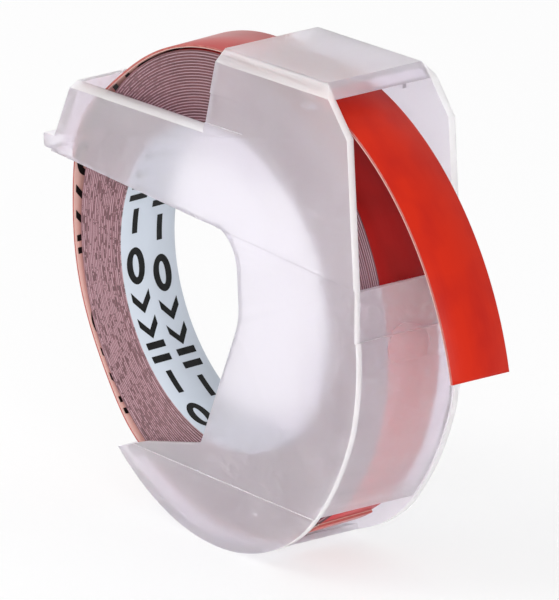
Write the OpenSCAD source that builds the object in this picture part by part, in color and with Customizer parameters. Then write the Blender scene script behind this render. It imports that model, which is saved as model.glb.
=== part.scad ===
// Cassette of embossing tape: a refill magazine for a hand-held label maker.
// Millimetres. The origin is the middle of the coil. +X points the way the tape comes out,
// +Y is from the front plate to the back plate and +Z is up towards the cap.

/* [Tape] */
// width of the tape, a quarter of an inch
tape_width = 6.35; // [6:0.05:12.7]
// outer radius of the tightly wound turns
coil_radius = 23.25; // [15:0.05:24]
// radius of the open middle of the coil
coil_bore = 15.6; // [8:0.1:20]
// how far that middle sits to one side of the coil's own middle, as the turns are looser on one side
bore_shift = -1.2; // [-2:0.1:2]
// thickness of the coloured vinyl strip, where one layer is drawn
vinyl = 0.25; // [0.1:0.01:0.5]
// thickness of the backing paper, where one layer is drawn
liner = 0.1; // [0.05:0.01:0.3]
// how far the loose coil leans over inside the case, in degrees
coil_lean = 4.6; // [0:0.1:5]
// greatest radius of the last turn, where it has sprung away from the coil
loose_radius = 25; // [23.6:0.1:25.2]

/* [Leader] */
// middle of the leader across the case
leader_y = -1.83; // [-2:0.01:2]
// where the straight part of the leader starts
leader_start = 6; // [5:0.1:12]
// height of the leader's outer surface under the cap
leader_z = 24.06; // [23.6:0.01:24.2]
// radius of the natural curl of the free end
curl_radius = 28.3; // [20:0.1:40]
// radius of the bend at the exit
bend_radius = 14; // [5:0.1:30]
// angle turned at the exit bend
bend_angle = 18.5; // [5:0.5:40]
// angle turned at the cut end, measured from level
curl_angle = 81.3; // [40:0.1:95]

/* [Case] */
// width of the case over both plates
case_width = 12; // [9:0.1:20]
// thickness of the two plates
plate = 0.75; // [0.5:0.05:1.5]
// radius of the round lower half of the plates
rim_radius = 25.4; // [24.5:0.1:30]
// middle of that round half, sideways
rim_x = -0.2; // [-2:0.1:2]
// middle of that round half, in height
rim_z = 1; // [-2:0.1:3]
// radius of the flatter quarter at the lower right
flat_radius = 32.2; // [30:0.1:36]
// thickness of the rim wall and the outer wall
wall = 0.55; // [0.4:0.05:1.5]
// how far the outer wall sits in from the plate edges
wall_inset = 0.15; // [0:0.05:0.6]
// where the plates' straight right-hand edge is, sideways
edge_x = 25.4; // [24:0.1:28]
// top of the outer wall, where the tape window starts
window_z = 6.15; // [2:0.05:12]
// line where the outer wall stops and the lower rim takes over
lower_crease_z = -17.7; // [-20:0.1:-10]
// small step in the outer wall and plate edge
step_z = 1.4; // [-2:0.1:5]
// depth by which the middle zone of each plate is set back
zone_step = 0.12; // [0:0.01:0.3]
// moulding draft, in degrees
draft = 2; // [0:0.1:4]

/* [Cap] */
// left end of the cap's top face
cap_left = 4.1; // [2:0.1:8]
// right end of the cap's top face
cap_right = 21.4; // [16:0.1:24]
// height of the cap's top face at its left end
cap_z = 25.02; // [24:0.01:28]
// lower edge of the lip over the tape exit
lip_z = 24.27; // [24.1:0.01:25]
// width of the bevel, across the case
bevel_y = 0.9; // [0.2:0.1:2]
// height of the bevel
bevel_z = 1.3; // [0.2:0.1:2]

/* [Arm] */
// height of the arm's top edge where it meets the cap
arm_z = 16.9; // [12:0.1:20]
// height of the arm's lower edge where it meets the plate
arm_low_z = 7.5; // [5:0.1:10]
// reach of the catch lip beyond the foot of the arm's end wall
catch_reach = 1.3; // [0:0.1:3]

/* [Hidden] */
$fn = 96;
inner_width = case_width - 2 * plate;
lean = [0, 0, coil_lean];
turn_radius = coil_radius + liner + vinyl;
roof_z = cap_z - 0.72;
flat_middle = [-5.85, 5.16];
lip_x = -25.6 - catch_reach;
lip_corner = 0.2;
turn_start = 78;
turn_end = 240;
loose_angle = 159;
loose_half = 46;
case_colour = [0.86, 0.87, 0.9, 0.45];
vinyl_colour = [0.78, 0.12, 0.07];
liner_colour = [0.83, 0.88, 0.91];

// a shape drawn in the plane of the plates, made w thick about the middle of the case
module across(w) rotate([90, 0, 0]) linear_extrude(height = w, center = true) children();

module ring(outer, inner) difference() { circle(r = outer); circle(r = inner); }

// the part of the plane between two angles
module sector(a0, a1, r = 60) {
    steps = [0, 1 / 3, 2 / 3, 1];
    polygon(concat([[0, 0]], [for (s = steps) let (a = a0 + (a1 - a0) * s) r * [cos(a), sin(a)]]));
}

// ---- case ----

// where a line from p touches a circle, on the circle's right-hand side
function tangent(c, r, p) =
    let (d = p - c, a = atan2(d[1], d[0]) + acos(r / norm(d)))
    c + r * [cos(a), sin(a)];

// the open notch on the left of each plate, between the arm and the lower rim
module notch() {
    corner = 3.6;
    bay = 6;
    bay_middle = [-0.5, 0.6];
    foot = [-2.1, -14.7];
    translate([bay_middle[0] + bay - corner, arm_low_z - corner]) circle(r = corner);
    translate(bay_middle) circle(r = bay);
    polygon([[-40, arm_low_z + 40 * tan(draft)], [0, arm_low_z], [bay_middle[0] + bay - corner, arm_low_z],
        [bay_middle[0] + bay, arm_low_z - corner], bay_middle + [bay, 0], tangent(bay_middle, bay, foot),
        foot, [-3.6, -15.2], [-12.1, -17.1], [-16, -18.4], [-40, -26.4]]);
}

module rim_disc(inset) {
    intersection() {
        translate([rim_x, rim_z]) circle(r = rim_radius - inset);
        translate(flat_middle) circle(r = flat_radius - inset);
    }
}

// height of a line that rises with the draft, at x
function rising(z, x) = z + x * tan(draft);

// the whole side view: round lower half, straight-sided upper half with the cap, and the arm
module outline() {
    difference() {
        union() {
            intersection() {
                rim_disc(0);
                translate([-60, step_z - 100]) square([120, 100]);
            }
            polygon([[1.1, 0], [1.1, arm_z], [3.6, cap_z - bevel_z], [cap_left, cap_z],
                [cap_right, rising(cap_z, cap_right - cap_left)], [22.75, 24.2], [edge_x, 21.1],
                [edge_x, 6.5], [25, step_z], [24, 0]]);
            polygon([[3, 6], [3, rising(arm_z, 3)], [-21.51, rising(arm_z, -21.51)],
                [-24.9, 10.2], [-26.5, 6.6]]);
        }
        notch();
    }
}

// what is cut away at both edges of a top face, from x0 to x1, to leave bevelled shoulders
module shoulders(z, by, bz, x0, x1) {
    h = case_width / 2;
    play = 0.05;
    low = z - bz - bz / by;
    rotate([0, -draft, 0]) translate([x0, 0, play]) rotate([90, 0, 90]) linear_extrude(height = x1 - x0)
        polygon([[-h - 1, low], [by - h, z], [h - by, z], [h + 1, low], [h + 1, z + 9], [-h - 1, z + 9]]);
}

// everything that spans from plate to plate: roof, arm end wall, outer wall and lower rim
module walls() {
    polygon([[1, roof_z], [1, 28], [24, 28], [24, lip_z], [22, lip_z], [21.2, roof_z + 0.58]]);
    polygon([[-19.6, 18.09], [-24.29, 9.85], [-25.07, 8.1], [-26, 5], [-40, 5], [-40, 18.09]]);
    intersection() {
        rim_disc(wall_inset);
        difference() {
            translate([0, lower_crease_z]) square([30, step_z - lower_crease_z]);
            rim_disc(wall + wall_inset);
        }
    }
    translate([24.8 - wall, step_z]) square([wall, window_z - step_z]);
    difference() {
        translate([-30, -30]) square([37, 30 - 16]);
        rim_disc(wall);
    }
}

// a shallow patch cut into the outer face of both plates
module both_faces(depth) {
    for (s = [-1, 1]) translate([0, s * (case_width / 2 + 0.5 - depth), 0]) across(1) children();
}

// part of a fine round groove in the outer wall, between two heights, down to x = depth
module mould_mark(depth, low, high) {
    intersection() {
        translate([depth, 0, 0]) rotate([0, 90, 0]) difference() {
            cylinder(r = 2.4, h = 1);
            translate([0, 0, -1]) cylinder(r = 2.2, h = 3);
        }
        translate([20, -5, low]) cube([10, 10, high - low]);
    }
}

module case() color(case_colour) {
    difference() {
        across(case_width) outline();
        shoulders(rising(cap_z, -cap_left), bevel_y, bevel_z, 1.9, 26);
        shoulders(arm_z, plate, 0.7, -28, 1.55);
        across(inner_width) difference() {
            translate([-60, -60]) square(120);
            walls();
        }
        both_faces(zone_step) polygon([[-30, 6], [0, 6], [2.8, 7.4], [40, 6.1],
            [40, lower_crease_z], [-30, lower_crease_z]]);
        both_faces(zone_step) polygon([[0, 17.3], [0, 20.3], [7.6, 20.8], [7.6, 17.6]]);
        mould_mark(24.93, -3, step_z - 0.1);
        mould_mark(24.72, step_z + 0.1, 3);
    }
    across(case_width) polygon([[-24.6, 10], [lip_x + lip_corner, 10], [lip_x, 10 - lip_corner],
        [lip_x, 8.6 + lip_corner], [lip_x + lip_corner, 8.6], [-25.2, 8.6]]);
    for (s = [-1, 1])
        translate([17.7, s * (inner_width / 2 - 0.2), 22.6]) cube([1.8, 0.5, 0.4], center = true);
}

// ---- tape ----

module tape_coil() color(vinyl_colour) rotate(lean)
    across(tape_width) difference() {
        circle(r = coil_radius);
        translate([bore_shift, 0]) circle(r = coil_bore + liner);
    }

module inner_liner() color(liner_colour) rotate(lean)
    across(tape_width) translate([bore_shift, 0]) ring(coil_bore + liner, coil_bore);

// the last turn: it lies on the coil, springs away from it on the left and lies on it again
module last_turn(outer, inner) {
    chord = turn_radius * sin(loose_half);
    rise = loose_radius - turn_radius * cos(loose_half);
    r = (chord * chord + rise * rise) / (2 * rise);
    across(tape_width) {
        for (span = [[turn_start, loose_angle - loose_half], [loose_angle + loose_half, turn_end]])
            intersection() {
                ring(turn_radius - outer, turn_radius - inner);
                sector(span[0], span[1]);
            }
        intersection() {
            translate((loose_radius - r) * [cos(loose_angle), sin(loose_angle)]) ring(r - outer, r - inner);
            sector(loose_angle - loose_half, loose_angle + loose_half);
        }
    }
}

module outer_turn() color(vinyl_colour) rotate(lean) last_turn(0, vinyl);

module outer_turn_liner() color(liner_colour) rotate(lean) last_turn(vinyl, vinyl + liner);

// the free end: straight under the cap, a bend at the exit, then the curl of the tape itself
module strip(outer, inner) {
    curl = [leader_start + 5.8, leader_z - bend_radius - (curl_radius - bend_radius) * cos(bend_angle)];
    bend = curl + (curl_radius - bend_radius) * [sin(bend_angle), cos(bend_angle)];
    translate([0, leader_y, 0]) across(tape_width) {
        translate([leader_start, leader_z - inner]) square([bend[0] - leader_start, inner - outer]);
        translate(bend) intersection() {
            ring(bend_radius - outer, bend_radius - inner);
            sector(90 - bend_angle, 90);
        }
        translate(curl) intersection() {
            ring(curl_radius - outer, curl_radius - inner);
            sector(90 - curl_angle, 90 - bend_angle);
        }
    }
}

module leader() color(vinyl_colour) strip(0, vinyl);

module leader_liner() color(liner_colour) strip(vinyl, vinyl + liner);

case();
tape_coil();
inner_liner();
outer_turn();
outer_turn_liner();
leader();
leader_liner();
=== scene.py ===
import math
import random

import bmesh
import bpy
from mathutils import Matrix, Vector


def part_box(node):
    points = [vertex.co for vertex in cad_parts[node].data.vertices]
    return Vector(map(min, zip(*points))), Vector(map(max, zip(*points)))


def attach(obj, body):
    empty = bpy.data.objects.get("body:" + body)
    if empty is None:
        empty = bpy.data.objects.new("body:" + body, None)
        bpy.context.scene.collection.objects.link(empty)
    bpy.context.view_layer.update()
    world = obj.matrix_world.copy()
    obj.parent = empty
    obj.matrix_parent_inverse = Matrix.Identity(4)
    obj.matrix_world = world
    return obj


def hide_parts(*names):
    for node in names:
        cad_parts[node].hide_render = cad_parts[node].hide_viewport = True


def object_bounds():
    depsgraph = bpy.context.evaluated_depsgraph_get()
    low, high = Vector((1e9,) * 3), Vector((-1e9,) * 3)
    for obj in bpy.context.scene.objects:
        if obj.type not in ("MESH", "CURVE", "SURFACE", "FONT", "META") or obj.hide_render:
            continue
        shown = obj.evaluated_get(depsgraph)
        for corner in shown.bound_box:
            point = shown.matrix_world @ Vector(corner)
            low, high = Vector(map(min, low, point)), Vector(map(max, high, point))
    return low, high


# Cassette of embossing tape. Lengths are in millimetres until they reach Blender, which works in metres.
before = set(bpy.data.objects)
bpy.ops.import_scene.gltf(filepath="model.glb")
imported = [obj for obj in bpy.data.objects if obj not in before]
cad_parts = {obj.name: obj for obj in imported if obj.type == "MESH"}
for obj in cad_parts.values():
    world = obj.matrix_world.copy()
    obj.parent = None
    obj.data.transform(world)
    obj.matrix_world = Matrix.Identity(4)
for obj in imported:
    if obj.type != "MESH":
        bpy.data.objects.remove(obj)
cad_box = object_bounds()
MM = 0.001

# ---- sizes, as the CAD part has them ----

COIL_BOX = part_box("tape_coil")
LEADER_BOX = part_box("leader")
LEAN = math.radians(4.6)            # how far the coil leans in the case
TAPE_WIDTH = 6.35
COIL_RADIUS = (COIL_BOX[1].z - COIL_BOX[0].z) / 2 / MM
BORE_RADIUS = (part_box("inner_liner")[1].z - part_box("inner_liner")[0].z) / 2 / MM
BORE_SHIFT = -1.2                   # the open middle sits to the left of the coil's middle
VINYL = 0.185                       # thickness of one layer of vinyl
BACKING = 0.085                     # and of the backing wound with it
LAYER = VINYL + BACKING + 0.036     # with the little air between turns
LAST_TURN_RADIUS = 23.6             # where the last turn lies on the coil
CASE_WIDTH = (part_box("case")[1].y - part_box("case")[0].y) / MM
PLATE = 0.75                        # thickness of the case's two plates
CLEAR_SHARE = 0.77                  # how much of the light goes straight through the plastic
LEADER_Y = (LEADER_BOX[0].y + LEADER_BOX[1].y) / 2 / MM
LEADER_Z = LEADER_BOX[1].z / MM     # its outer side under the cap
LEADER_START = LEADER_BOX[0].x / MM
BORE_PRINT_DEPTH = 0.04             # the print in the bore lies this far inside its radius
TURN_PRINT_DEPTH = LAYER + 0.012    # and on the last turn this far under its outer side

random.seed(7)


# ---- helpers ----

def new_material(name):
    material = bpy.data.materials.new(name)
    material.use_nodes = True
    nodes = material.node_tree.nodes
    shader = nodes["Principled BSDF"]
    return material, nodes, material.node_tree.links, shader


def axes_of(nodes, links, vector):
    node = nodes.new("ShaderNodeSeparateXYZ")
    links.new(vector, node.inputs[0])
    return node.outputs


def object_place(nodes):
    return nodes.new("ShaderNodeTexCoord").outputs["Object"]


def math_node(nodes, links, operation, *inputs, clamp=False):
    node = nodes.new("ShaderNodeMath")
    node.operation = operation
    node.use_clamp = clamp
    for socket, value in zip(node.inputs, inputs):
        if isinstance(value, (int, float)):
            socket.default_value = value
        else:
            links.new(value, socket)
    return node.outputs[0]


def mix_colours(nodes, links, factor, first, second):
    node = nodes.new("ShaderNodeMix")
    node.data_type = "RGBA"
    for socket, value in ((node.inputs[0], factor), (node.inputs[6], first), (node.inputs[7], second)):
        if isinstance(value, (int, float)):
            socket.default_value = value
        elif isinstance(value, tuple):
            socket.default_value = (*value, 1)
        else:
            links.new(value, socket)
    return node.outputs[2]


def noise_node(nodes, links, vector, scale, detail=3.0, roughness=0.5):
    node = nodes.new("ShaderNodeTexNoise")
    node.inputs["Scale"].default_value = scale
    node.inputs["Detail"].default_value = detail
    node.inputs["Roughness"].default_value = roughness
    links.new(vector, node.inputs["Vector"])
    return node.outputs["Fac"]


def stretched(nodes, links, vector, scale):
    """A vector scaled along each axis, so that a noise on it has long or short grains."""
    node = nodes.new("ShaderNodeMapping")
    node.inputs["Scale"].default_value = scale
    links.new(vector, node.inputs["Vector"])
    return node.outputs["Vector"]


def ramp(nodes, links, factor, *stops):
    """A colour ramp: each stop is a place from 0 to 1 and a colour or a grey."""
    node = nodes.new("ShaderNodeValToRGB")
    elements = node.color_ramp.elements
    while len(elements) < len(stops):
        elements.new(0.5)
    for element, (place, colour) in zip(elements, stops):
        element.position = place
        element.color = (*colour, 1) if isinstance(colour, tuple) else (colour, colour, colour, 1)
    links.new(factor, node.inputs[0])
    return node.outputs[0]


def add_bump(nodes, links, shader, height, strength, distance):
    node = nodes.new("ShaderNodeBump")
    node.inputs["Strength"].default_value = strength
    node.inputs["Distance"].default_value = distance
    links.new(height, node.inputs["Height"])
    links.new(node.outputs[0], shader.inputs["Normal"])


def add_piece(name, mesh, material, body, slot, *stands_for):
    piece = bpy.data.objects.new(name, mesh)
    bpy.context.scene.collection.objects.link(piece)
    if not mesh.materials:
        mesh.materials.append(material)
    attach(piece, body)
    if stands_for:
        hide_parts(*stands_for)
    return piece


# ---- materials ----

def case_material():
    """Milky polypropylene: light passes blurred through its plates. It is whiter on the plates' edge faces
    and on level faces, as painted highlights, and where it is scuffed."""
    material, nodes, links, shader = new_material("milky_polypropylene")
    place = object_place(nodes)
    facing = axes_of(nodes, links, nodes.new("ShaderNodeNewGeometry").outputs["Normal"])
    sideways = math_node(nodes, links, "ABSOLUTE", facing["Y"])
    level = math_node(nodes, links, "ABSOLUTE", facing["Z"])
    out = math_node(nodes, links, "ABSOLUTE", axes_of(nodes, links, place)["Y"])
    plate_inside = (CASE_WIDTH / 2 - PLATE - 0.02) * MM
    in_plate = math_node(nodes, links, "GREATER_THAN", out, plate_inside)
    # painted highlights: the plates' edge faces (rim) and faces that look up or down (level) get less
    # transmission, so they show whiter
    cut_edge = ramp(nodes, links, sideways, (0.8, 1.0), (0.97, 0.0))
    rim_highlight = math_node(nodes, links, "MULTIPLY", in_plate, cut_edge)
    white = math_node(nodes, links, "MAXIMUM", rim_highlight, ramp(nodes, links, level, (0.7, 0.0), (0.95, 0.4)))
    cloud = noise_node(nodes, links, place, 110, 4, 0.6)
    clear = math_node(nodes, links, "MULTIPLY_ADD", cloud, 0.2, CLEAR_SHARE - 0.1)
    clear = math_node(nodes, links, "MULTIPLY_ADD", white, -0.5, clear, clamp=True)
    scuffs = ramp(nodes, links, noise_node(nodes, links, place, 1300, 3, 0.7), (0.52, 0.0), (0.68, 1.0))
    patches = ramp(nodes, links, noise_node(nodes, links, place, 130, 2, 0.5), (0.4, 0.0), (0.6, 1.0))
    scuffs = math_node(nodes, links, "MULTIPLY", scuffs, patches)
    clear = math_node(nodes, links, "MULTIPLY_ADD", scuffs, -0.2, clear, clamp=True)
    links.new(clear, shader.inputs["Transmission Weight"])
    shader.inputs["Base Color"].default_value = (0.952, 0.905, 0.998, 1)
    shader.inputs["IOR"].default_value = 1.13
    shader.inputs["Subsurface Weight"].default_value = 1.0
    shader.inputs["Subsurface Radius"].default_value = (1.0, 1.0, 1.05)
    shader.inputs["Subsurface Scale"].default_value = 0.004
    shader.inputs["Coat Weight"].default_value = 0.3
    shader.inputs["Coat Roughness"].default_value = 0.2
    scratches = noise_node(nodes, links, stretched(nodes, links, place, (300, 300, 2600)), 1.0, 2)
    worn = math_node(nodes, links, "MULTIPLY_ADD", scratches, 0.12, 0.34)
    links.new(worn, shader.inputs["Roughness"])
    fine = noise_node(nodes, links, place, 900, 3, 0.6)
    grain = math_node(nodes, links, "ADD", fine, math_node(nodes, links, "MULTIPLY", scratches, 0.4))
    add_bump(nodes, links, shader, grain, 0.12, 0.0001)
    return material


def vinyl_material(name, bright, dark, low=None, gloss=0.15):
    """Glossy red tape, with the faint darker ghosts that the backing's print leaves in it. low is painted
    light:
    a brighter red for the lower half of the coil, where light reaches it through the outer wall."""
    material, nodes, links, shader = new_material(name)
    uv = nodes.new("ShaderNodeTexCoord").outputs["UV"]
    ghosts = noise_node(nodes, links, stretched(nodes, links, uv, (0.22, 0.35, 1)), 1.0, 2, 0.4)
    streaks = noise_node(nodes, links, stretched(nodes, links, uv, (0.25, 5, 1)), 1.0, 3)
    shade = ramp(nodes, links, ghosts, (0.42, 0.0), (0.7, 1.0))
    red = mix_colours(nodes, links, shade, bright, dark)
    faint = math_node(nodes, links, "MULTIPLY", streaks, 0.1)
    red = mix_colours(nodes, links, faint, red, (0.62, 0.04, 0.02))
    # painted light: from about 5.6 mm above the coil's middle downwards the red turns to the brighter low
    # colour
    if low:
        height = axes_of(nodes, links, object_place(nodes))["Z"]
        lower = math_node(nodes, links, "MULTIPLY_ADD", height, -180.0, 1.0, clamp=True)
        red = mix_colours(nodes, links, lower, red, low)
    links.new(red, shader.inputs["Base Color"])
    shader.inputs["Roughness"].default_value = 0.32
    shader.inputs["Specular IOR Level"].default_value = gloss
    add_bump(nodes, links, shader, streaks, 0.08, 0.0001)
    return material


def edge_material():
    """Cut edges of the wound vinyl: brown-red, uneven from turn to turn and dustier to the left."""
    material, nodes, links, shader = new_material("vinyl_cut_edge")
    uv = nodes.new("ShaderNodeTexCoord").outputs["UV"]
    along = noise_node(nodes, links, stretched(nodes, links, uv, (0.5, 2.3, 1)), 1.0, 3, 0.6)
    dark = ramp(nodes, links, along, (0.3, (0.08, 0.02, 0.024)), (0.7, (0.155, 0.044, 0.052)))
    dusty = ramp(nodes, links, along, (0.3, (0.14, 0.05, 0.065)), (0.7, (0.26, 0.11, 0.135)))
    along_x = axes_of(nodes, links, object_place(nodes))["X"]
    to_left = math_node(nodes, links, "MULTIPLY_ADD", along_x, -70.0, -0.45, clamp=True)
    links.new(mix_colours(nodes, links, to_left, dark, dusty), shader.inputs["Base Color"])
    shader.inputs["Roughness"].default_value = 0.5
    return material


def vinyl_edge_material():
    """The thin cut edge of a single vinyl strip, paler than its face where the knife has roughened it."""
    material, nodes, links, shader = new_material("vinyl_strip_edge")
    uv = nodes.new("ShaderNodeTexCoord").outputs["UV"]
    rough = noise_node(nodes, links, stretched(nodes, links, uv, (2.0, 4.0, 1)), 1.0, 3, 0.6)
    paled = ramp(nodes, links, rough, (0.3, (0.36, 0.06, 0.05)), (0.7, (0.5, 0.15, 0.125)))
    links.new(paled, shader.inputs["Base Color"])
    shader.inputs["Roughness"].default_value = 0.55
    return material


def backing_material(name, colour, fleck):
    """Coated backing strip. fleck is how strongly its ink shows along its cut edge, at the coil's left."""
    material, nodes, links, shader = new_material(name)
    uv = nodes.new("ShaderNodeTexCoord").outputs["UV"]
    soft = noise_node(nodes, links, stretched(nodes, links, uv, (0.15, 0.3, 1)), 1.0, 3)
    base = mix_colours(nodes, links, soft, colour, tuple(min(1, c * 1.1) for c in colour))
    if fleck:
        ink = noise_node(nodes, links, stretched(nodes, links, uv, (1.1, 0.02, 1)), 1.0, 3, 0.7)
        ink = ramp(nodes, links, ink, (0.51, 0.0), (0.56, 1.0))
        along_x = axes_of(nodes, links, object_place(nodes))["X"]
        to_left = math_node(nodes, links, "MULTIPLY_ADD", along_x, -70.0, -0.2, clamp=True)
        ink = math_node(nodes, links, "MULTIPLY", ink, to_left)
        ink = math_node(nodes, links, "MULTIPLY", ink, fleck)
        base = mix_colours(nodes, links, ink, base, (0.07, 0.035, 0.035))
    links.new(base, shader.inputs["Base Color"])
    shader.inputs["Roughness"].default_value = 0.42
    shader.inputs["Specular IOR Level"].default_value = 0.35
    return material


def ink_material():
    """Flat black print, a little uneven."""
    material, nodes, links, shader = new_material("print_ink")
    worn = noise_node(nodes, links, object_place(nodes), 1500, 3, 0.6)
    links.new(ramp(nodes, links, worn, (0.3, 0.004), (0.75, 0.012)), shader.inputs["Base Color"])
    shader.inputs["Roughness"].default_value = 0.5
    shader.inputs["Specular IOR Level"].default_value = 0.2
    return material


# ---- strips of tape ----

def leaning(x, y, z, lean=LEAN):
    """A point given in millimetres, turned by the coil's lean about the vertical, in metres."""
    c, s = math.cos(lean), math.sin(lean)
    return Vector((x * c - y * s, x * s + y * c, z)) * MM


def strip(name, path, thickness, width, middle_y=0.0, lean=LEAN, drift=None, rounding=0.03):
    """A tape that follows path, a list of ((x, z), (nx, nz)) on its outer side with the outward normal.
    Its section has softened corners. u runs along the tape and v across it and round it, in millimetres.
    The outer face has material 1 and the edges and the inner face have material 0."""
    half = width / 2
    r = min(rounding, thickness / 3)
    section = [(-half + r, 0), (half - r, 0), (half, -r), (half, r - thickness),
               (half - r, -thickness), (-half + r, -thickness), (-half, r - thickness), (-half, -r)]
    mesh = bpy.data.meshes.new(name)
    bm = bmesh.new()
    layer = bm.loops.layers.uv.new("UVMap")
    rings, lengths, total = [], [], 0.0
    for i, ((x, z), (nx, nz)) in enumerate(path):
        if i:
            total += math.dist((x, z), path[i - 1][0])
        lengths.append(total)
        shift = middle_y + (drift(i / (len(path) - 1)) if drift else 0.0)
        rings.append([bm.verts.new(leaning(x + nx * d, y + shift, z + nz * d, lean)) for y, d in section])
    count = len(section)
    round_it = [0.0]
    for k in range(count):
        a, b = section[k], section[(k + 1) % count]
        round_it.append(round_it[-1] + math.dist(a, b))
    for i in range(len(rings) - 1):
        for k in range(count):
            n = (k + 1) % count
            face = bm.faces.new((rings[i][k], rings[i][n], rings[i + 1][n], rings[i + 1][k]))
            corners = ((lengths[i], round_it[k]), (lengths[i], round_it[k + 1]),
                       (lengths[i + 1], round_it[k + 1]), (lengths[i + 1], round_it[k]))
            for loop, uv in zip(face.loops, corners):
                loop[layer].uv = uv
            face.smooth = k in (0, 4)
            face.material_index = 1 if k == 0 else 0
    for ring, order in ((rings[0], -1), (rings[-1], 1)):
        bm.faces.new(ring[::order])     # the two cut ends
    bmesh.ops.recalc_face_normals(bm, faces=bm.faces)
    bm.to_mesh(mesh)
    bm.free()
    return mesh


def paint(mesh, edge, outer):
    """Gives a strip one material on its edges and inner face and another on its outer face."""
    mesh.materials.append(edge)
    mesh.materials.append(outer)


def polar_path(radius, start, end, steps, centre_x=None):
    """A path round the coil: radius(angle) and centre_x(angle) in millimetres, angles in degrees."""
    path = []
    for i in range(steps + 1):
        angle = start + (end - start) * i / steps
        c, s = math.cos(math.radians(angle)), math.sin(math.radians(angle))
        r = radius(angle)
        path.append(((r * c + (centre_x(angle) if centre_x else 0.0), r * s), (c, s)))
    return path


def bell(angle, middle, spread, height):
    """A smooth rise of this height at the middle angle, in degrees."""
    return height * math.exp(-((angle - middle) / spread) ** 2 / 2)


def loose_radius(angle):
    """The last turn lies on the coil, springs well away from it at the left and a little lower down."""
    return (LAST_TURN_RADIUS + bell(angle, 153, 11, 1.35) + bell(angle, 180, 16, 0.55)
            + bell(angle, 226, 8, 0.5) - 0.1 * max(0, angle - 240) / 60)


LAST_TURN_START, LAST_TURN_END = 78, 300      # degrees, from +X towards +Z
WOUND_TURNS = 25
STEPS_PER_TURN = 120
WANDERS_PER_TURN = 6


def wound_share(angle):
    """From 0 at the outside of the wound turns to 1 at their inner end."""
    return (angle - LAST_TURN_END) / (360 * WOUND_TURNS)


def wound_radius(angle):
    """Outer side of the wound vinyl, which ends one layer above the innermost backing."""
    return COIL_RADIUS + (BORE_RADIUS + LAYER - COIL_RADIUS) * wound_share(angle)


def wound_shift(angle):
    """The middle of each turn moves little by little from the coil's middle to that of its opening."""
    return BORE_SHIFT * wound_share(angle)


wander = [random.uniform(-1, 1) for _ in range(WOUND_TURNS * WANDERS_PER_TURN + 8)]


def wound_drift(share):
    """How far a turn stands out sideways: the edges of a wound coil are never quite level."""
    place = share * WOUND_TURNS * WANDERS_PER_TURN
    k = int(place)
    t = place - k
    t = t * t * (3 - 2 * t)
    most = 0.035
    return most * (wander[k] * (1 - t) + wander[k + 1] * t)


def inward(function, depth):
    """The same radius less a depth, for the layer that lies under another."""
    return lambda angle: function(angle) - depth


def build_coil(materials):
    """The wound turns: one spiral of vinyl, one of backing under it, and the innermost turn of backing."""
    end = LAST_TURN_END + 360 * WOUND_TURNS
    steps = WOUND_TURNS * STEPS_PER_TURN
    vinyl_path = polar_path(wound_radius, LAST_TURN_END, end, steps, wound_shift)
    paper_path = polar_path(inward(wound_radius, VINYL), LAST_TURN_END, end, steps, wound_shift)
    vinyl = strip("wound_vinyl", vinyl_path, VINYL, TAPE_WIDTH - 0.08, drift=wound_drift)
    paper = strip("wound_backing", paper_path, BACKING, TAPE_WIDTH, drift=wound_drift)
    paint(vinyl, materials["edge"], materials["inner_vinyl_painted_shade_and_light"])
    add_piece("wound_vinyl", vinyl, materials["edge"], "coil", "coil_edge", "tape_coil")
    add_piece("wound_backing", paper, materials["fleck"], "coil", "backing", "tape_coil")
    inner_path = polar_path(lambda angle: BORE_RADIUS + 0.02, 0, 360, 180, lambda angle: BORE_SHIFT)
    inner_thickness = 0.05
    inner = strip("innermost_backing", inner_path, inner_thickness, TAPE_WIDTH + 0.02, rounding=0.01)
    add_piece("innermost_backing", inner, materials["blue"], "coil", "backing", "inner_liner")


def build_last_turn(materials):
    """The last turn, loose on the coil, with its vinyl outside and its backing inside."""
    steps = 240
    vinyl_path = polar_path(loose_radius, LAST_TURN_START, LAST_TURN_END, steps)
    paper_path = polar_path(inward(loose_radius, VINYL), LAST_TURN_START, LAST_TURN_END, steps)
    vinyl = strip("last_turn_vinyl", vinyl_path, VINYL, TAPE_WIDTH)
    paint(vinyl, materials["vinyl_edge"], materials["last_vinyl_painted_sheen"])
    paper = strip("last_turn_backing", paper_path, BACKING, TAPE_WIDTH)
    add_piece("last_turn_vinyl", vinyl, materials["last_vinyl_painted_sheen"], "coil", "vinyl", "outer_turn")
    add_piece("last_turn_backing", paper, materials["pink"], "coil", "backing", "outer_turn_liner")


# the free end: straight under the cap, a bend at the exit, then the curl of the tape itself
STRAIGHT = 5.8                      # along X, from its start to the middle of the curl
BEND_RADIUS, BEND_ANGLE = 14.0, 18.5
CURL_RADIUS, CURL_ANGLE = 28.3, 81.3
FREE_VINYL, FREE_BACKING = 0.25, 0.1


def leader_path(depth):
    """The free end's path, at this depth under its outer side, with the angles measured from the top."""
    path = []
    level = LEADER_Z - depth
    curl_x = LEADER_START + STRAIGHT
    curl_z = LEADER_Z - BEND_RADIUS - (CURL_RADIUS - BEND_RADIUS) * math.cos(math.radians(BEND_ANGLE))
    bend_x = curl_x + (CURL_RADIUS - BEND_RADIUS) * math.sin(math.radians(BEND_ANGLE))
    bend_z = LEADER_Z - BEND_RADIUS
    straight_steps = 12
    for i in range(straight_steps):
        path.append(((LEADER_START + (bend_x - LEADER_START) * i / straight_steps, level), (0.0, 1.0)))
    bend = (bend_x, bend_z, BEND_RADIUS, 0, BEND_ANGLE, 16)
    curl = (curl_x, curl_z, CURL_RADIUS, BEND_ANGLE, CURL_ANGLE, 90)
    for x, z, radius, start, end, steps in (bend, curl):
        for i in range(steps + 1):
            if i == 0 and start:
                continue                # the bend has already made this point
            angle = math.radians(90 - (start + (end - start) * i / steps))
            c, s = math.cos(angle), math.sin(angle)
            path.append(((x + (radius - depth) * c, z + (radius - depth) * s), (c, s)))
    return path


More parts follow.
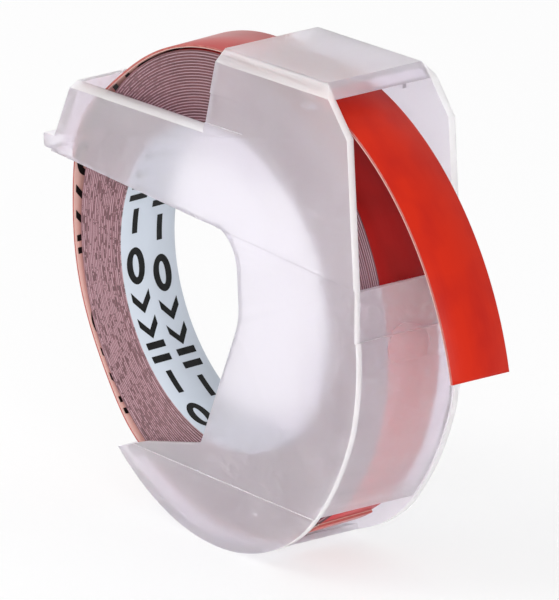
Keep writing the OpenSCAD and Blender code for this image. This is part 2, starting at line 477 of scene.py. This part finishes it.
def build_leader(materials):
    """The free end, which lies straight in the case and doesn't lean with the coil."""
    vinyl = strip("leader_vinyl", leader_path(0), FREE_VINYL, TAPE_WIDTH, LEADER_Y, 0.0, rounding=0.05)
    paper = strip("leader_backing", leader_path(FREE_VINYL), FREE_BACKING, TAPE_WIDTH, LEADER_Y, 0.0)
    paint(vinyl, materials["vinyl_edge"], materials["vinyl"])
    add_piece("leader_vinyl", vinyl, materials["vinyl"], "leader", "vinyl", "leader")
    add_piece("leader_backing", paper, materials["pink"], "leader", "backing", "leader_liner")


# ---- print on the backing: plain geometric marks ----

def bar(u, v, length, height):
    return [(u, v), (u + length, v), (u + length, v + height), (u, v + height)]


def chevron(u, v, length, height, stroke):
    """An arrowhead that points along the tape."""
    tip = u + length
    return [(u, v), (u + stroke, v), (tip, v + height / 2), (u + stroke, v + height),
            (u, v + height), (tip - stroke, v + height / 2)]


def ring_band(u, v, length, height, stroke, steps=28):
    """The outline of an oval, as quads."""
    quads = []
    cu, cv = u + length / 2, v + height / 2

    def arc(inset, *turns):
        wide, high = length / 2 - inset, height / 2 - inset
        return [(cu + wide * math.cos(t), cv + high * math.sin(t)) for t in turns]

    for i in range(steps):
        a, b = (2 * math.pi * k / steps for k in (i, i + 1))
        quads.append(arc(0, a, b) + arc(stroke, b, a))
    return quads


def mark_row(v, height, start, end, stroke):
    """One row of marks from start to end along the tape: ovals, bars and chevrons in turn."""
    polygons = []
    u = start
    pattern = ("oval", "chevron", "chevron", "bars", "bar")
    k = 0
    while u < end - 4:
        kind = pattern[k % len(pattern)]
        if kind == "oval":
            polygons += ring_band(u, v, 3.6, height, stroke)
            u += 4.2
        elif kind == "chevron":
            polygons.append(chevron(u, v, 2.2, height, stroke * 1.3))
            u += 2.5
        elif kind == "bars":
            polygons += [bar(u, v, stroke, height), bar(u + 2 * stroke, v, stroke, height)]
            u += 4.4 * stroke
        else:
            polygons.append(bar(u, v + height * 0.35, 2.6, height * 0.3))
            u += 4.0
        k += 1
    return polygons


def print_marks(name, polygons, place, body, material):
    """Lays flat marks on the backing: place(u, v) gives the point in metres. Long marks are cut up first,
    so that they follow the curve."""
    mesh = bpy.data.meshes.new(name)
    bm = bmesh.new()
    for polygon in polygons:
        face = bm.faces.new([bm.verts.new((u, v, 0)) for u, v in polygon])
        face.smooth = True
    longest, most_cuts = 0.5, 5
    for _ in range(most_cuts):
        long_edges = [e for e in bm.edges if abs(e.verts[0].co.x - e.verts[1].co.x) > longest]
        if not long_edges:
            break
        bmesh.ops.subdivide_edges(bm, edges=long_edges, cuts=1)
    bmesh.ops.triangulate(bm, faces=bm.faces)
    for vert in bm.verts:
        vert.co = place(vert.co.x, vert.co.y)
    bm.to_mesh(mesh)
    bm.free()
    return add_piece(name, mesh, material, body, "backing")


def on_bore(u, v):
    """A point just inside the coil's inner face, u round from +X, v across."""
    radius = BORE_RADIUS - BORE_PRINT_DEPTH
    angle = u / radius
    return leaning(BORE_SHIFT + radius * math.cos(angle), v, radius * math.sin(angle))


def on_last_turn(u, v):
    """A point on the backing under the last turn, u round from +X, v across."""
    angle = u / LAST_TURN_RADIUS
    radius = loose_radius(math.degrees(angle)) - TURN_PRINT_DEPTH
    return leaning(radius * math.cos(angle), v, radius * math.sin(angle))


def build_print(materials):
    """Two rows of marks on each stretch of backing that can be seen."""
    lap = 2 * math.pi * BORE_RADIUS
    height, stroke, offset = 2.1, 0.7, 1.3
    rows = mark_row(-2.65, height, 0.0, lap, stroke) + mark_row(0.3, height, offset, lap, stroke)
    print_marks("inner_print", rows, on_bore, "coil", materials["ink"])
    first, last = (math.radians(a) * LAST_TURN_RADIUS for a in (LAST_TURN_START + 2, LAST_TURN_END - 2))
    stroke = 0.6
    rows = mark_row(-3.0, 2.4, first, last, stroke) + mark_row(0.4, 2.2, first, last, stroke)
    print_marks("last_turn_print", rows, on_last_turn, "coil", materials["ink"])


# ---- case ----

def build_case(materials):
    """The moulding, from a copy of the CAD solid's mesh, with its edges softened."""
    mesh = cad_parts["case"].data.copy()
    bm = bmesh.new()
    bm.from_mesh(mesh)
    bmesh.ops.remove_doubles(bm, verts=bm.verts, dist=0.002 * MM)
    bmesh.ops.dissolve_limit(bm, angle_limit=math.radians(0.6), verts=bm.verts, edges=bm.edges)
    for face in bm.faces:
        face.smooth = True
    bm.to_mesh(mesh)
    bm.free()
    mesh.materials.clear()
    case = add_piece("case_shell", mesh, materials["case"], "case", "case", "case")
    bevel = case.modifiers.new("soft_edges", "BEVEL")
    bevel.width = 0.1 * MM
    bevel.segments = 2
    bevel.limit_method = "ANGLE"
    bevel.angle_limit = math.radians(25)
    bevel.use_clamp_overlap = True
    bevel.harden_normals = True


# ---- studio ----

def build_floor():
    """A white sweep that glows a little, as a lit table does."""
    floor_mesh = bpy.data.meshes.new("floor")
    reach, level = 6.0, cad_box[0].z
    corners = [(x * reach, y * reach, level) for x, y in ((-1, -1), (1, -1), (1, 1), (-1, 1))]
    floor_mesh.from_pydata(corners, [], [(0, 1, 2, 3)])
    floor = bpy.data.objects.new("floor", floor_mesh)
    bpy.context.scene.collection.objects.link(floor)
    material, nodes, links, shader = new_material("white_sweep")
    shader.inputs["Base Color"].default_value = (0.32, 0.32, 0.321, 1)
    shader.inputs["Emission Color"].default_value = (1, 1, 1, 1)
    shader.inputs["Emission Strength"].default_value = 0.63
    shader.inputs["Roughness"].default_value = 0.7
    floor_mesh.materials.append(material)


def build_lights():
    """White light from all round, a key lamp from the upper left and a fill lamp from the right."""
    world = bpy.data.worlds.new("studio")
    world.use_nodes = True
    world.node_tree.nodes["Background"].inputs["Color"].default_value = (1, 1, 1, 1)
    world.node_tree.nodes["Background"].inputs["Strength"].default_value = 0.74
    bpy.context.scene.world = world
    bpy.context.scene.view_settings.view_transform = "Standard"

    # each lamp's name, place and size in metres, and power in watts
    lamps = (("key", (-0.25, -0.35, 0.45), 0.35, 1.35), ("fill", (0.6, -0.3, 0.1), 0.4, 2.7))
    for name, place, size, power in lamps:
        lamp = bpy.data.lights.new(name, "AREA")
        lamp.size = size
        lamp.energy = power
        holder = bpy.data.objects.new(name, lamp)
        holder.location = place
        holder.rotation_euler = (-Vector(place)).to_track_quat("-Z", "Y").to_euler()
        bpy.context.scene.collection.objects.link(holder)


def build_camera():
    """A long lens from the front right, a little above the cassette."""
    yaw, pitch, roll = (math.radians(a) for a in (57.25, 17.38, -2.6))
    aim = Vector((5.25, -1.16, 0.0)) * MM
    distance = 1860.5 * MM
    forward = Vector((-math.sin(yaw) * math.cos(pitch), math.cos(yaw) * math.cos(pitch), -math.sin(pitch)))
    level = forward.cross(Vector((0, 0, 1))).normalized()
    upright = level.cross(forward)
    right = level * math.cos(roll) + upright * math.sin(roll)
    up = upright * math.cos(roll) - level * math.sin(roll)
    data = bpy.data.cameras.new("camera")
    data.sensor_width = 36
    data.lens = 1200
    data.clip_end = 20
    camera = bpy.data.objects.new("camera", data)
    camera.matrix_world = Matrix((
        (right.x, up.x, -forward.x, aim.x - forward.x * distance),
        (right.y, up.y, -forward.y, aim.y - forward.y * distance),
        (right.z, up.z, -forward.z, aim.z - forward.z * distance),
        (0, 0, 0, 1)))
    bpy.context.scene.collection.objects.link(camera)
    bpy.context.scene.camera = camera


materials = {
    "case": case_material(),
    "vinyl": vinyl_material("red_vinyl", (0.5, 0.015, 0.002), (0.42, 0.01, 0.003)),
    # the wound coil's outer face: a darker copy of the red, painted shade under the free end, with painted
    # light in its lower half
    "inner_vinyl_painted_shade_and_light": vinyl_material("red_vinyl_on_coil_painted_shade_and_light", (0.29, 0.005, 0.005), (0.23, 0.004, 0.004),
                                  low=(0.52, 0.012, 0.02)),
    "edge": edge_material(),
    # the last turn's red is paler and pinker than the free end's: a painted sheen of bright surroundings at
    # a grazing angle
    "last_vinyl_painted_sheen": vinyl_material("red_vinyl_last_turn_painted_sheen", (0.47, 0.03, 0.025), (0.4, 0.02, 0.018), gloss=0.8),
    "vinyl_edge": vinyl_edge_material(),
    "fleck": backing_material("backing_cut_edge", (0.43, 0.275, 0.305), 0.85),
    "pink": backing_material("backing_on_vinyl", (0.61, 0.39, 0.35), 0.0),
    "blue": backing_material("backing_inside", (0.54, 0.59, 0.65), 0.0),
    "ink": ink_material(),
}
build_case(materials)
build_coil(materials)
build_last_turn(materials)
build_leader(materials)
build_print(materials)
build_floor()
build_lights()
build_camera()
